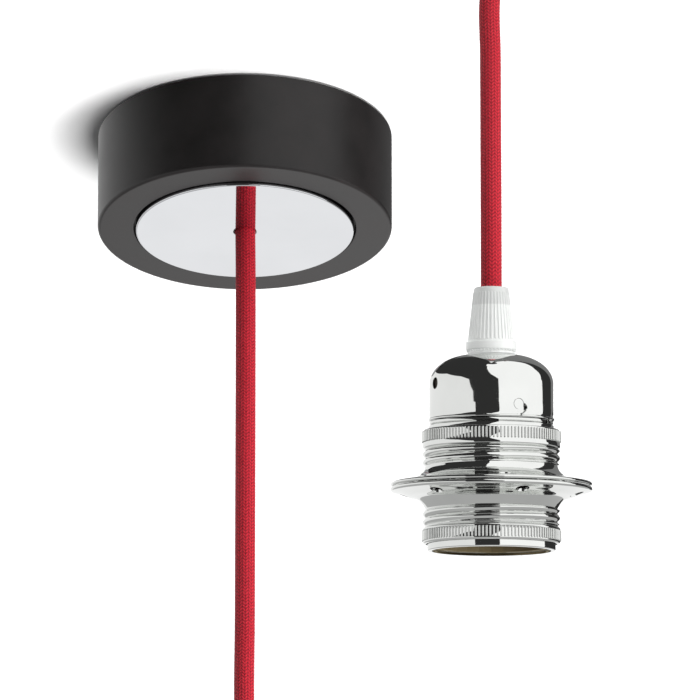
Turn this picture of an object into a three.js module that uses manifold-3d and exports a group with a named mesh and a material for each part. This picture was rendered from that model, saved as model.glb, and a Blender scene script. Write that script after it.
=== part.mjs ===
// Pendant cord set: ceiling canopy, textile cord over a ceiling hook, and an E27 lamp holder
// with two shade rings.
// Millimetres, +Z up. The origin is the middle of the bracket's top face, on the ceiling.
// +X points right and +Y points away from someone who looks at the front.

import * as THREE from 'three';
import * as BufferGeometryUtils from 'three/addons/utils/BufferGeometryUtils.js';
import Module from 'manifold-3d';

const wasm = await Module();
wasm.setup();

// Driving dimensions

// Shared
const fit = 0.3; // gap between pieces that seat on each other
const cordRadius = 3.1;
const cordBoreGap = 0.4; // room round the cord where it passes through a piece
const coreRadius = 1.1;
const coreSpread = 1.5; // distance of each core from the cord's axis
const coreBoreGap = 0.3;

// Canopy
const canopyRadius = 45;
const canopyHeight = 31;
const canopyWall = 1.5;
const canopyEdge = 1.0; // rounding of the lower outer edge
const recessRadius = 34;
const shelfInner = 24;
const shelfSheet = 1.5;
const discGap = 0.65; // ring of shadow between the disc and its recess
const discProud = 1.0;
const discSheet = 1.2;
const discDepth = 3.2; // height of the disc with its turned-up rim

// Ceiling bracket
const bracketHalfLength = 38.5;
const bracketWidth = 16;
const bracketSheet = 1.5;
const bracketFootInner = 25;
const slotPlace = 22;
const slotHalfWidth = 2.25;
const slotHalfLength = 5;

// Canopy screws and disc clips
const screwPlace = 28.5;
const screwRadius = 1.6;
const screwHeadRadius = 2.8;
const screwHeadHeight = 1.5;
const screwEngagement = 3; // what stands out above the bracket's foot
const clipCount = 3;
const clipWidth = 8;
const clipSheet = 0.6;
const clipFoot = 6;
const clipLip = 3;

// Cord clamp and terminal block in the canopy
const clampHalfLength = 11;
const clampDepth = 6.5;
const clampHeight = 9;
const clampScrewPlace = 7.5;
const clampScrewRadius = 1.5;
const clampHeadRadius = 2.6;
const clampHeadHeight = 1.6;
const cordTop = -20; // where the braid ends in the canopy
const blockHalfLength = 13;
const blockDepth = 6.5;
const blockHeight = 10;
const blockPitch = 8;
const blockScrewRadius = 1.5;
const coreInsertion = 5; // how far a core goes into its terminal

// Ceiling hook that carries the cord
const hookWire = 2; // radius of the wire
const hookBend = 9; // radius of the bend's centre line
const hookTipRise = 8;
const hookPlateRadius = 10;
const hookPlateSheet = 2;
const hookGap = 0.9;
const hookMiddle = new THREE.Vector3(107.5, -201.5, -15); // the cord's axis over the hook

// Holder: heights below the cap's flat top, along the holder's own axis
const holderPlace = new THREE.Vector3(73.2, -190, -160);
const holderLean = 19; // degrees that the top leans to the front
const sheet = 0.7;
const capFlatRadius = 6;
const capRadius = 18.05;
const capDomeHeight = 8.5;
const capHeight = 19.9;
const capBead = 0.25;
const capBeadHeight = 1.3;
const capHoleRadius = 1.7;
const capHoleAzimuth = -65.6;
const capHoleDepth = 8.8;
const dimpleAzimuth = 25;
const dimpleDepth = 15.3;
const dimpleHalfWidth = 1.8;
const dimpleHalfHeight = 2.85;
const dimplePress = 0.35;
const notchAzimuth = 65;
const notchWidth = 2.2;
const notchHeight = 0.8;

// Cord grip
const gripHeight = 19.8;
const gripTopRadius = 5.05;
const gripFootRadius = 6.75;
const gripCorner = 1;
const collarRadius = 7.4;
const collarTop = 3.9;
const collarBottom = 1.1;
const collarEdge = 0.4;
const ribCount = 16;
const ribHeight = 0.35;
const studRadius = 4.9;
const studLength = 6;
const sleeveRadius = 5.2;
const sleeveTop = 8;
const colletRadius = 4.6;
const colletTop = 14.4;
const colletSlots = 4;
const colletSlotWidth = 1;
const flangeRadius = 7.0;
const nutFlats = 14;
const nutHeight = 2.5;
const cordEnd = -5; // where the braid ends in the holder

// Holder shell, liner and carrier
const shellNeckTop = 14;
const shellRoot = 18.4;
const shellCrest = 18.95;
const shellPitch = 2.5;
const shellInner = 17.9;
const shellRimRadius = 18.65;
const shellThreadEnd = 54.6;
const shellLength = 57;
const shellLip = 17.3; // inner radius of the turned-in rim
const linerWall = 1.7;
const carrierTop = 18;
const carrierFlange = 2.8;
const carrierBottom = 31.2;

// E27 screw shell and centre contact
const socketCrest = 12.3; // inner radius at the thread's crest
const socketRoot = 13.5;
const socketPitch = 3.62;
const socketSheet = 0.4;
const socketEnd = 53.5;
const socketPlateHole = 7;
const contactWidth = 5;
const contactSheet = 0.5;
const contactHalfLength = 4;
const contactDrop = 5;
const rivetPlace = 10;
const rivetRadius = 1.2;
const rivetHeadRadius = 2;
const rivetHeadHeight = 0.8;
const rivetDepth = 6;

// Terminals on the carrier
const terminalPlace = 8;
const terminalSetback = 4;
const terminalHalf = 2.5;
const terminalHeight = 5;
const terminalScrewRadius = 1.2;
const terminalScrewHead = 0.8;
const earthHeadRadius = 2.6;
const earthHeadHeight = 1.6;
const earthReach = 4.4; // shank between the cap's outer face and the head

// Shade rings
const ringCrest = 20;
const ringRoot = 19.6;
const knurlRadius = 20.25;
const knurlDepth = 0.3;
const knurlTeeth = 60;
const ringTip = 29.6;
const ringSheet = 0.45;
const ventCount = 6;
const ventRadius = 2;
const ventPlace = 25;
const upperVentPhase = 9;
const lowerVentPhase = 20.4;

// Facets round each piece
const canopySegments = 40;
const holderSegments = 28;
const threadSegments = 24;
const smallSegments = 18;
const screwSegments = 10;
const wireSides = 8;

// The cord's route, chosen by hand: down from the canopy, round a free loop, up, over the
// ceiling hook and down into the grip
const cordRoute = [
  [0, 0, cordTop], [0, 0, -45], [0, 0, -80], [0, 0, -120], [0, 0, -160], [0, 0, -195],
  [4, -6, -263], [17, -23.5, -299], [35.5, -50.5, -326], [59, -83.5, -340], [83.5, -118, -340],
  [106.5, -151, -326], [125.5, -178, -299], [138, -195.5, -263], [142, -201.5, -200],
  [142, -201.5, -160], [142, -201.5, -120], [142, -201.5, -85], [142, -201.5, -49.5],
  [139.5, -201.5, -36.3], [132, -201.5, -25], [120.7, -201.5, -17.6], [107.5, -201.5, -15],
  [94.3, -201.5, -17.6], [83, -201.5, -25], [75.8, -201.5, -36.3], [73.2, -201.5, -49.5],
  [73.2, -201.5, -70], [73.2, -201.5, -95], [73.2, -201.5, -114], [73.2, -198.5, -135.4],
  [73.2, -192.6, -152.4],
];

// Colours and surfaces
const finishes = {
  black: [0x1c1b1b, 0.38, 0.1],
  mirror: [0xe6e7ea, 0.04, 1],
  chrome: [0xd9dade, 0.08, 1],
  steel: [0xb4b6b8, 0.35, 1],
  brass: [0xc2a05a, 0.3, 1],
  clear: [0xe9ebe8, 0.4, 0],
  ceramic: [0xe4e0d6, 0.5, 0],
  brown: [0x5a3a26, 0.5, 0],
  plastic: [0xe8e6df, 0.5, 0],
  red: [0xc0303f, 0.85, 0],
  live: [0x7a4a2a, 0.5, 0],
  neutral: [0x3a64a8, 0.5, 0],
  earth: [0x6f9a3a, 0.5, 0],
};

// Geometry helpers

// Merges shared corners, drops empty triangles and turns the faces outwards
function closed(geometry) {
  geometry.deleteAttribute('normal');
  geometry.deleteAttribute('uv');
  const merged = BufferGeometryUtils.mergeVertices(geometry, 1e-4);
  const index = merged.index.array;
  const at = (k) => new THREE.Vector3().fromBufferAttribute(merged.attributes.position, k);
  const kept = [];
  let volume = 0;
  for (let k = 0; k < index.length; k += 3) {
    const [a, b, c] = [index[k], index[k + 1], index[k + 2]];
    if (a === b || b === c || c === a) continue;
    kept.push(a, b, c);
    volume += at(a).dot(at(b).cross(at(c)));
  }
  if (volume < 0) kept.reverse();
  merged.setIndex(kept);
  return merged;
}

function toSolid(geometry) {
  const merged = closed(geometry.clone());
  return new wasm.Manifold(new wasm.Mesh({
    numProp: 3,
    vertProperties: new Float32Array(merged.attributes.position.array),
    triVerts: new Uint32Array(merged.index.array),
  }));
}

function toGeometry(solid) {
  const result = solid.getMesh();
  const geometry = new THREE.BufferGeometry();
  geometry.setAttribute('position', new THREE.BufferAttribute(new Float32Array(result.vertProperties), 3));
  geometry.setIndex(new THREE.BufferAttribute(new Uint32Array(result.triVerts), 1));
  return geometry;
}

function cut(body, ...tools) {
  return toGeometry(tools.reduce((left, tool) => left.subtract(toSolid(tool)), toSolid(body)));
}

function join(body, ...extras) {
  return toGeometry(extras.reduce((left, extra) => left.add(toSolid(extra)), toSolid(body)));
}

// Revolves a closed outline of [radius, height] points about Z
function revolve(outline, segments) {
  const points = outline.map(([radius, height]) => new THREE.Vector2(radius, height));
  points.push(points[0].clone());
  return new THREE.LatheGeometry(points, segments).rotateX(Math.PI / 2);
}

// Cylinder along Z between two heights
function pin(radius, bottom, top, segments = screwSegments) {
  return new THREE.CylinderGeometry(radius, radius, top - bottom, segments)
    .rotateX(Math.PI / 2)
    .translate(0, 0, (bottom + top) / 2);
}

function box(xMin, xMax, yMin, yMax, zMin, zMax) {
  return new THREE.BoxGeometry(xMax - xMin, yMax - yMin, zMax - zMin)
    .translate((xMin + xMax) / 2, (yMin + yMax) / 2, (zMin + zMax) / 2);
}

// Extrudes an outline in X and Z to both sides of Y = 0
function plate(outline, width) {
  const shape = new THREE.Shape(outline.map(([x, z]) => new THREE.Vector2(x, z)));
  return new THREE.ExtrudeGeometry(shape, { depth: width, bevelEnabled: false })
    .rotateX(Math.PI / 2)
    .translate(0, width / 2, 0);
}

// Quarter of an ellipse from straight up to straight out, as [radius, height] points
function quarter(centreRadius, centreHeight, across, along, steps) {
  return Array.from({ length: steps + 1 }, (_, k) => {
    const angle = (Math.PI / 2) * (k / steps);
    return [centreRadius + across * Math.sin(angle), centreHeight + along * Math.cos(angle)];
  });
}

// Round tube along a curve
function tube(curve, radius, sides, steps) {
  const section = new THREE.Shape();
  section.absarc(0, 0, radius, 0, 2 * Math.PI);
  return new THREE.ExtrudeGeometry(section, { curveSegments: sides / 2, steps, extrudePath: curve });
}

function smooth(points) {
  return new THREE.CatmullRomCurve3(points.map((p) => new THREE.Vector3(...p)), false, 'centripetal');
}

// Rolled thread: both faces follow rows that climb with the thread, and flatten at the ends.
// outer and inner give the radius for a share of the thread's height from 0 to 1.
function rolledThread(outer, inner, bottom, top, pitch, rowsPerTurn, segments) {
  const rows = Math.ceil(((top - bottom) / pitch + 1) * rowsPerTurn);
  const wave = Array.from({ length: rowsPerTurn }, (_, k) => (1 - Math.cos((2 * Math.PI * k) / rowsPerTurn)) / 2);
  const positions = [];
  const index = [];
  const point = (row, column, radiusOf) => {
    const height = top + pitch - (row * pitch) / rowsPerTurn - (column * pitch) / segments;
    const clamped = Math.min(top, Math.max(bottom, height));
    const runOut = Math.min(1, (top - clamped) / pitch, (clamped - bottom) / pitch);
    const radius = radiusOf(wave[row % rowsPerTurn] * runOut);
    const angle = (2 * Math.PI * column) / segments;
    return [radius * Math.cos(angle), radius * Math.sin(angle), clamped];
  };
  const quad = (a, b, c, d) => {
    const first = positions.length / 3;
    positions.push(...a, ...b, ...c, ...d);
    index.push(first, first + 1, first + 2, first, first + 2, first + 3);
  };
  for (let column = 0; column < segments; column += 1) {
    for (let row = 0; row < rows; row += 1) {
      const corners = (radiusOf) => [
        point(row, column, radiusOf), point(row + 1, column, radiusOf),
        point(row + 1, column + 1, radiusOf), point(row, column + 1, radiusOf),
      ];
      quad(...corners(outer));
      quad(...corners(inner).reverse());
    }
    quad(point(0, column, outer), point(0, column + 1, outer),
      point(0, column + 1, inner), point(0, column, inner));
    quad(point(rows, column, inner), point(rows, column + 1, inner),
      point(rows, column + 1, outer), point(rows, column, outer));
  }
  const geometry = new THREE.BufferGeometry();
  geometry.setAttribute('position', new THREE.Float32BufferAttribute(positions, 3));
  geometry.setIndex(index);
  return geometry;
}

const radians = THREE.MathUtils.degToRad;

// Turns a piece made on the front's side (towards -Y) to an azimuth, positive to the right
function toAzimuth(geometry, degrees) {
  return geometry.rotateZ(radians(degrees));
}

const group = new THREE.Group();
const holder = new THREE.Group();
holder.position.copy(holderPlace);
holder.rotation.x = radians(holderLean);
group.add(holder);

function add(parent, name, geometry, finish) {
  const [color, roughness, metalness] = finishes[finish];
  const material = new THREE.MeshStandardMaterial({ color, roughness, metalness });
  const mesh = new THREE.Mesh(closed(geometry), material);
  mesh.name = name;
  parent.add(mesh);
  return mesh;
}

// Canopy body: a cup that is open to the ceiling, with a shelf round the disc's recess
const canopyBottom = -canopyHeight;
const discBottom = canopyBottom - discProud;
const discFace = discBottom + discSheet; // the disc's inner face
const rimTop = discBottom + discDepth;
const shelfBottom = rimTop + fit;
const shelfTop = shelfBottom + shelfSheet;
const footBottom = shelfTop + fit;
const footTop = footBottom + bracketSheet;
const discRadius = recessRadius - discGap;

function canopyBody() {
  const edge = quarter(canopyRadius - canopyEdge, 0, canopyEdge, canopyEdge, 3)
    .map(([radius, height]) => [radius, canopyBottom + canopyEdge - height]);
  const inner = canopyRadius - canopyWall;
  const shell = revolve([
    [inner, -fit], [canopyRadius, -fit],
    ...edge.reverse(),
    [recessRadius, canopyBottom], [recessRadius, shelfBottom], [shelfInner, shelfBottom],
    [shelfInner, shelfTop], [inner, shelfTop],
  ], canopySegments);
  const holes = [-screwPlace, screwPlace].map((x) => (
    pin(screwRadius + fit, shelfBottom - 1, shelfTop + 1).translate(x, 0, 0)));
  return cut(shell, ...holes);
}
add(group, 'canopy_body', canopyBody(), 'black');

// Canopy disc: a shallow pressed pan with the cord's hole in its middle
const discHole = cordRadius + cordBoreGap;
add(group, 'canopy_disc', revolve([
  [discHole, discBottom], [discRadius - discGap / 2, discBottom], [discRadius, discBottom + discGap / 2],
  [discRadius, rimTop], [discRadius - discSheet, rimTop], [discRadius - discSheet, discFace],
  [discHole, discFace],
], canopySegments), 'mirror');

// Disc clips: bent strips on the disc's back that hook over the shelf
function discClip() {
  const upright = Math.sqrt((shelfInner - fit) ** 2 - (clipWidth / 2) ** 2);
  const foot = discFace + fit;
  const lip = shelfTop + fit;
  return plate([
    [upright - clipFoot, foot], [upright, foot], [upright, lip], [upright + clipLip, lip],
    [upright + clipLip, lip + clipSheet], [upright - clipSheet, lip + clipSheet],
    [upright - clipSheet, foot + clipSheet], [upright - clipFoot, foot + clipSheet],
  ], clipWidth);
}
for (let k = 0; k < clipCount; k += 1) {
  const turn = Math.PI / 2 + (k * 2 * Math.PI) / clipCount;
  add(group, `disc_clip_${k + 1}`, discClip().rotateZ(turn), 'steel');
}

// Ceiling bracket: a strap with two legs, whose feet take the canopy screws
function ceilingBracket() {
  const leg = bracketHalfLength - bracketSheet;
  const half = [
    [bracketHalfLength, 0], [bracketHalfLength, footBottom], [bracketFootInner, footBottom],
    [bracketFootInner, footTop], [leg, footTop], [leg, -bracketSheet],
  ];
  const mirrored = half.map(([x, z]) => [-x, z]).reverse();
  const strap = plate([...half, ...mirrored], bracketWidth);
  const slots = [-slotPlace, slotPlace].flatMap((x) => [
    box(x - slotHalfLength + slotHalfWidth, x + slotHalfLength - slotHalfWidth,
      -slotHalfWidth, slotHalfWidth, -bracketSheet - 1, 1),
    pin(slotHalfWidth, -bracketSheet - 1, 1).translate(x - slotHalfLength + slotHalfWidth, 0, 0),
    pin(slotHalfWidth, -bracketSheet - 1, 1).translate(x + slotHalfLength - slotHalfWidth, 0, 0),
  ]);
  const holes = [-screwPlace, screwPlace].map((x) => (
    pin(screwRadius + fit, footBottom - 1, footTop + 1).translate(x, 0, 0)));
  return cut(strap, ...slots, ...holes);
}
add(group, 'ceiling_bracket', ceilingBracket(), 'steel');

// Canopy screws: pan heads under the shelf, behind the disc
[-screwPlace, screwPlace].forEach((x, k) => {
  const headTop = shelfBottom - fit;
  const headBottom = headTop - screwHeadHeight;
  const screw = revolve([
    [0, headBottom], [screwHeadRadius, headBottom], [screwHeadRadius, headTop], [screwRadius, headTop],
    [screwRadius, footTop + screwEngagement], [0, footTop + screwEngagement],
  ], screwSegments).translate(x, 0, 0);
  add(group, `canopy_screw_${k + 1}`, screw, 'steel');
});

// Cord clamp: two halves round the cord, which stand on the disc's inner face
const clampBottom = discFace + fit;
const clampTop = clampBottom + clampHeight;
const clampMiddle = (clampBottom + clampTop) / 2;

function clampHalf(side) {
  const [near, far] = [side * (fit / 2), side * clampDepth];
  const block = box(-clampHalfLength, clampHalfLength, Math.min(near, far), Math.max(near, far),
    clampBottom, clampTop);
  const cordBore = pin(cordRadius + fit, clampBottom - 1, clampTop + 1, smallSegments);
  const screwBores = [-clampScrewPlace, clampScrewPlace].map((x) => (
    pin(clampScrewRadius + fit, -clampDepth - 1, clampDepth + 1)
      .rotateX(Math.PI / 2).translate(x, 0, clampMiddle)));
  return cut(block, cordBore, ...screwBores);
}
add(group, 'cord_clamp_base', clampHalf(1), 'plastic');
add(group, 'cord_clamp_bridge', clampHalf(-1), 'plastic');

// Screw whose head faces the front
function frontScrew(radius, headRadius, headHeight, headFace, tip) {
  return revolve([
    [0, headFace + headHeight], [headRadius, headFace + headHeight], [headRadius, headFace],
    [radius, headFace], [radius, tip], [0, tip],
  ], screwSegments).rotateX(Math.PI / 2);
}
[-clampScrewPlace, clampScrewPlace].forEach((x, k) => {
  const screw = frontScrew(clampScrewRadius, clampHeadRadius, clampHeadHeight, clampDepth + fit, -clampDepth)
    .translate(x, 0, clampMiddle);
  add(group, `clamp_screw_${k + 1}`, screw, 'steel');
});

// Terminal block under the strap, with a bore and a screw for each core
const blockTop = -bracketSheet - fit;
const blockBottom = blockTop - blockHeight;
const blockMiddle = blockBottom + blockHeight / 2;
const blockPlaces = [-blockPitch, 0, blockPitch];

function terminalBlock() {
  const body = box(-blockHalfLength, blockHalfLength, -blockDepth, blockDepth, blockBottom, blockTop);
  const bores = blockPlaces.flatMap((x) => [
    pin(coreRadius + coreBoreGap, blockBottom - 1, blockBottom + coreInsertion + fit).translate(x, 0, 0),
    pin(blockScrewRadius + fit, 0, blockDepth + 1).rotateX(Math.PI / 2)
      .translate(x, 0, blockBottom + coreInsertion - blockScrewRadius),
  ]);
  return cut(body, ...bores);
}
add(group, 'terminal_block', terminalBlock(), 'plastic');
blockPlaces.forEach((x, k) => {
  const tip = coreRadius + coreBoreGap;
  const screw = pin(blockScrewRadius, tip, blockDepth).rotateX(Math.PI / 2)
    .translate(x, 0, blockBottom + coreInsertion - blockScrewRadius);
  add(group, `block_screw_${k + 1}`, screw, 'brass');
});

// Cores in the canopy: they fan out from the cord to the block
const canopyCoreAngles = { live: 330, earth: 90, neutral: 210 };
const coreStart = (degrees, height) => [
  coreSpread * Math.cos(radians(degrees)), coreSpread * Math.sin(radians(degrees)), height,
];
const canopyCores = { live: blockPitch, earth: 0, neutral: -blockPitch };
Object.entries(canopyCores).forEach(([kind, x]) => {
  const start = coreStart(canopyCoreAngles[kind], cordTop + 2 * fit);
  const route = smooth([
    start, [start[0], start[1], start[2] + 1.5], [x, 0, blockBottom - coreRadius],
    [x, 0, blockBottom + coreInsertion / 2], [x, 0, blockBottom + coreInsertion],
  ]);
  add(group, `canopy_core_${kind}`, tube(route, coreRadius, wireSides, 8), kind);
});

// Cord
add(group, 'cord', tube(smooth(cordRoute), cordRadius, wireSides, 76), 'red');

// Ceiling hook: round wire under a plate, with its bend below the cord
function swagHook() {
  const bendHeight = hookMiddle.z - cordRadius - hookGap - hookWire + hookBend;
  const bend = Array.from({ length: 7 }, (_, k) => {
    const angle = (Math.PI * k) / 6;
    return [0, hookBend * Math.cos(angle), bendHeight - hookBend * Math.sin(angle)];
  });
  const wire = smooth([[0, hookBend, -hookPlateSheet / 2], [0, hookBend, bendHeight / 2], ...bend,
    [0, -hookBend, bendHeight + hookTipRise / 2]]);
  const base = pin(hookPlateRadius, -hookPlateSheet, 0, smallSegments).translate(0, hookBend, 0);
  return join(base, tube(wire, hookWire, wireSides, 18)).translate(hookMiddle.x, hookMiddle.y, 0);
}
add(group, 'swag_hook', swagHook(), 'steel');

// Grip nut: a hollow ribbed cone with a collar at its foot
const gripBore = cordRadius + cordBoreGap;

function gripNut() {
  const corner = quarter(gripTopRadius - gripCorner, gripHeight - gripCorner, gripCorner, gripCorner, 3);
  const outline = [
    [gripBore, gripHeight], ...corner,
    [gripFootRadius, collarTop], [collarRadius - collarEdge, collarTop],
    [collarRadius, collarTop - collarEdge], [collarRadius, collarBottom + collarEdge],
    [collarRadius - collarEdge, collarBottom], [sleeveRadius + fit, collarBottom],
    [sleeveRadius + fit, sleeveTop + fit], [colletRadius + fit, colletTop + fit],
    [gripBore, colletTop + 2 * fit],
  ];
  const nut = revolve(outline, 2 * ribCount);
  const position = nut.attributes.position;
  const ringPoints = outline.length + 1;
  const ribTop = outline.findIndex(([radius]) => radius >= gripTopRadius);
  for (let k = 0; k < position.count; k += 1) {
    const column = Math.floor(k / ringPoints);
    const row = k % ringPoints;
    if (column % 2 === 1 && (row === ribTop || row === ribTop + 1)) {
      const radius = Math.hypot(position.getX(k), position.getY(k));
      const share = (radius + ribHeight) / radius;
      position.setXY(k, position.getX(k) * share, position.getY(k) * share);
    }
  }
  return nut;
}
add(holder, 'grip_nut', gripNut(), 'clear');

// Grip body: flange on the cap, stud through it, and a slotted collet inside the nut
function gripBody() {
  const body = revolve([
    [gripBore, colletTop], [colletRadius, colletTop], [colletRadius, sleeveTop], [sleeveRadius, sleeveTop],
    [sleeveRadius, collarBottom - fit], [flangeRadius, collarBottom - fit], [flangeRadius, fit],
    [studRadius, fit], [studRadius, -studLength], [gripBore, -studLength],
  ], smallSegments);
  const slots = Array.from({ length: colletSlots / 2 }, (_, k) => (
    box(-sleeveRadius, sleeveRadius, -colletSlotWidth / 2, colletSlotWidth / 2, sleeveTop + fit, colletTop + 1)
      .rotateZ((k * 2 * Math.PI) / colletSlots)));
  return cut(body, ...slots);
}
add(holder, 'grip_body', gripBody(), 'clear');

// Stud nut inside the cap
function studNut() {
  const top = -sheet - fit - fit / 2;
  const hexagon = pin(nutFlats / Math.sqrt(3), top - nutHeight, top, 6);
  return cut(hexagon, pin(studRadius + fit, top - nutHeight - 1, top + 1, smallSegments));
}
add(holder, 'stud_nut', studNut(), 'steel');

// Cap: a domed cup with a beaded edge, a pressed dimple, a notch and the earth screw's hole
function holderCap() {
  const hole = studRadius + fit;
  const inner = capRadius - sheet;
  const domeOuter = quarter(capFlatRadius, -capDomeHeight, capRadius - capFlatRadius, capDomeHeight, 6);
  const domeInner = quarter(capFlatRadius, -capDomeHeight, inner - capFlatRadius, capDomeHeight - sheet, 4);
  const beadTop = -capHeight + capBeadHeight;
  const body = revolve([
    [hole, 0], ...domeOuter,
    [capRadius, beadTop + capBead], [capRadius + capBead, beadTop], [capRadius + capBead, -capHeight + capBead],
    [capRadius, -capHeight], [inner, -capHeight],
    ...domeInner.reverse(), [hole, -sheet],
  ], holderSegments);
  const earthHole = toAzimuth(
    pin(capHoleRadius, inner - 3, capRadius + 1).rotateX(Math.PI / 2).translate(0, 0, -capHoleDepth),
    capHoleAzimuth);
  const dimple = toAzimuth(
    new THREE.SphereGeometry(1, 12, 8).scale(dimpleHalfWidth, 2 * dimplePress, dimpleHalfHeight)
      .translate(0, -capRadius - dimplePress, -dimpleDepth),
    dimpleAzimuth);
  const notch = toAzimuth(
    box(-notchWidth / 2, notchWidth / 2, -capRadius - 1, -inner + 1, -capHeight - 1, -capHeight + notchHeight),
    notchAzimuth);
  return cut(body, earthHole, dimple, notch);
}
add(holder, 'holder_cap', holderCap(), 'chrome');

// Earth screw: its shank ends in the cap's hole and its head clamps the earth core inside
const earthHeadFace = capRadius - earthReach;
const earthScrew = revolve([
  [0, capRadius - sheet], [capHoleRadius - fit, capRadius - sheet], [capHoleRadius - fit, earthHeadFace],
  [earthHeadRadius, earthHeadFace], [earthHeadRadius, earthHeadFace - earthHeadHeight],
  [0, earthHeadFace - earthHeadHeight],
], screwSegments).rotateX(Math.PI / 2).translate(0, 0, -capHoleDepth);
add(holder, 'earth_screw', toAzimuth(earthScrew, capHoleAzimuth), 'brass');

// Holder shell: a neck inside the cap, a threaded body and a turned-in rim
const shellShoulder = -capHeight - fit;
const neckRadius = capRadius - sheet - fit;

function holderShell() {
  const neckInner = neckRadius - sheet;
  const body = revolve([
    [neckInner, -shellNeckTop], [neckRadius, -shellNeckTop], [neckRadius, shellShoulder],
    [shellRoot - fit / 2, shellShoulder], [shellRoot - fit / 2, -shellThreadEnd],
    [shellRimRadius, -shellThreadEnd], [shellRimRadius, -shellLength], [shellLip, -shellLength],
    [shellLip, -shellLength + sheet], [shellInner, -shellLength + sheet],
    [shellInner, shellShoulder - sheet], [neckInner, shellShoulder - sheet],
  ], threadSegments);
  const radiusOf = (share) => shellRoot + (shellCrest - shellRoot) * share;
  const thread = rolledThread(radiusOf, () => shellRoot - fit, -shellThreadEnd, shellShoulder,
    shellPitch, 2, threadSegments);
  return join(body, thread);
}
add(holder, 'holder_shell', holderShell(), 'chrome');

// Liner between the holder shell and the screw shell
const linerOuter = shellInner - fit;
const linerInner = linerOuter - linerWall;
const flangeTop = shellShoulder - sheet - fit;
const flangeBottom = flangeTop - carrierFlange;
const linerBottom = -shellLength + sheet + fit;
add(holder, 'shell_liner', revolve([
  [linerInner, flangeBottom - fit], [linerOuter, flangeBottom - fit], [linerOuter, linerBottom],
  [linerInner, linerBottom],
], holderSegments), 'brown');

// Terminal carrier: held between the shell's shoulder and the liner
function terminalCarrier() {
  const upper = neckRadius - sheet - fit;
  const lower = linerInner - fit;
  const body = revolve([
    [0, -carrierTop], [upper, -carrierTop], [upper, flangeTop], [linerOuter, flangeTop],
    [linerOuter, flangeBottom], [lower, flangeBottom], [lower, -carrierBottom], [0, -carrierBottom],
  ], holderSegments);
  const bores = [-rivetPlace, rivetPlace].map((y) => (
    pin(rivetRadius + fit, -carrierBottom - 1, -carrierBottom + rivetDepth + fit).translate(0, y, 0)));
  return cut(body, ...bores);
}
add(holder, 'terminal_carrier', terminalCarrier(), 'ceramic');

// Screw shell: rolled sheet with the lamp's thread and a flat end against the carrier
const plateTop = -carrierBottom - fit;
const plateBottom = plateTop - socketSheet;

function screwShell() {
  const inner = (share) => socketRoot - (socketRoot - socketCrest) * share;
  const outer = (share) => inner(share) + socketSheet;
  const sleeve = rolledThread(outer, inner, -socketEnd, plateTop, socketPitch, 3, threadSegments);
  const plateBody = revolve([
    [socketPlateHole, plateTop], [socketRoot + socketSheet / 2, plateTop],
    [socketRoot + socketSheet / 2, plateBottom], [socketPlateHole, plateBottom],
  ], threadSegments);
  const bores = [-rivetPlace, rivetPlace].map((y) => (
    pin(rivetRadius + fit, plateBottom - 1, plateTop + 1).translate(0, y, 0)));
  return cut(join(sleeve, plateBody), ...bores);
}
add(holder, 'screw_shell', screwShell(), 'brass');

[-rivetPlace, rivetPlace].forEach((y, k) => {
  const headTop = plateBottom - fit;
  const rivet = revolve([
    [0, headTop - rivetHeadHeight], [rivetHeadRadius, headTop - rivetHeadHeight], [rivetHeadRadius, headTop],
    [rivetRadius, headTop], [rivetRadius, -carrierBottom + rivetDepth], [0, -carrierBottom + rivetDepth],
  ], screwSegments).translate(0, y, 0);
  add(holder, `shell_rivet_${k + 1}`, rivet, 'brass');
});

// Centre contact: a strip on the carrier, with a spring tongue bent down towards the lamp
const contactTop = -carrierBottom - fit;
add(holder, 'centre_contact', plate([
  [-contactHalfLength, contactTop], [contactHalfLength, contactTop],
  [contactHalfLength, contactTop - contactSheet], [-contactHalfLength + 2 * contactSheet, contactTop - contactSheet],
  [contactHalfLength - 1, contactTop - contactDrop], [contactHalfLength - 1, contactTop - contactDrop - contactSheet],
  [contactHalfLength - 2, contactTop - contactDrop - contactSheet], [-contactHalfLength, contactTop - contactSheet],
], contactWidth), 'brass');

// Terminals on the carrier, each a block with a bore for the core and a clamping screw
const terminalBottom = -carrierTop + fit;
const terminalTop = terminalBottom + terminalHeight;
const terminalMiddle = (terminalBottom + terminalTop) / 2;
const holderTerminals = { live: terminalPlace, neutral: -terminalPlace };
Object.entries(holderTerminals).forEach(([kind, x]) => {
  const block = box(x - terminalHalf, x + terminalHalf, terminalSetback - terminalHalf,
    terminalSetback + terminalHalf, terminalBottom, terminalTop);
  const coreBore = pin(coreRadius + coreBoreGap, terminalBottom + 1, terminalTop + 1)
    .translate(x, terminalSetback, 0);
  const screwBore = pin(terminalScrewRadius + fit, 0, terminalHalf + 1).rotateX(Math.PI / 2)
    .translate(x, terminalSetback, terminalMiddle);
  add(holder, `terminal_${kind}`, cut(block, coreBore, screwBore), 'brass');
  const tip = coreRadius + coreBoreGap;
  const screw = pin(terminalScrewRadius, tip, terminalHalf + terminalScrewHead).rotateX(Math.PI / 2)
    .translate(x, terminalSetback, terminalMiddle);
  add(holder, `terminal_screw_${kind}`, screw, 'steel');
});

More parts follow.
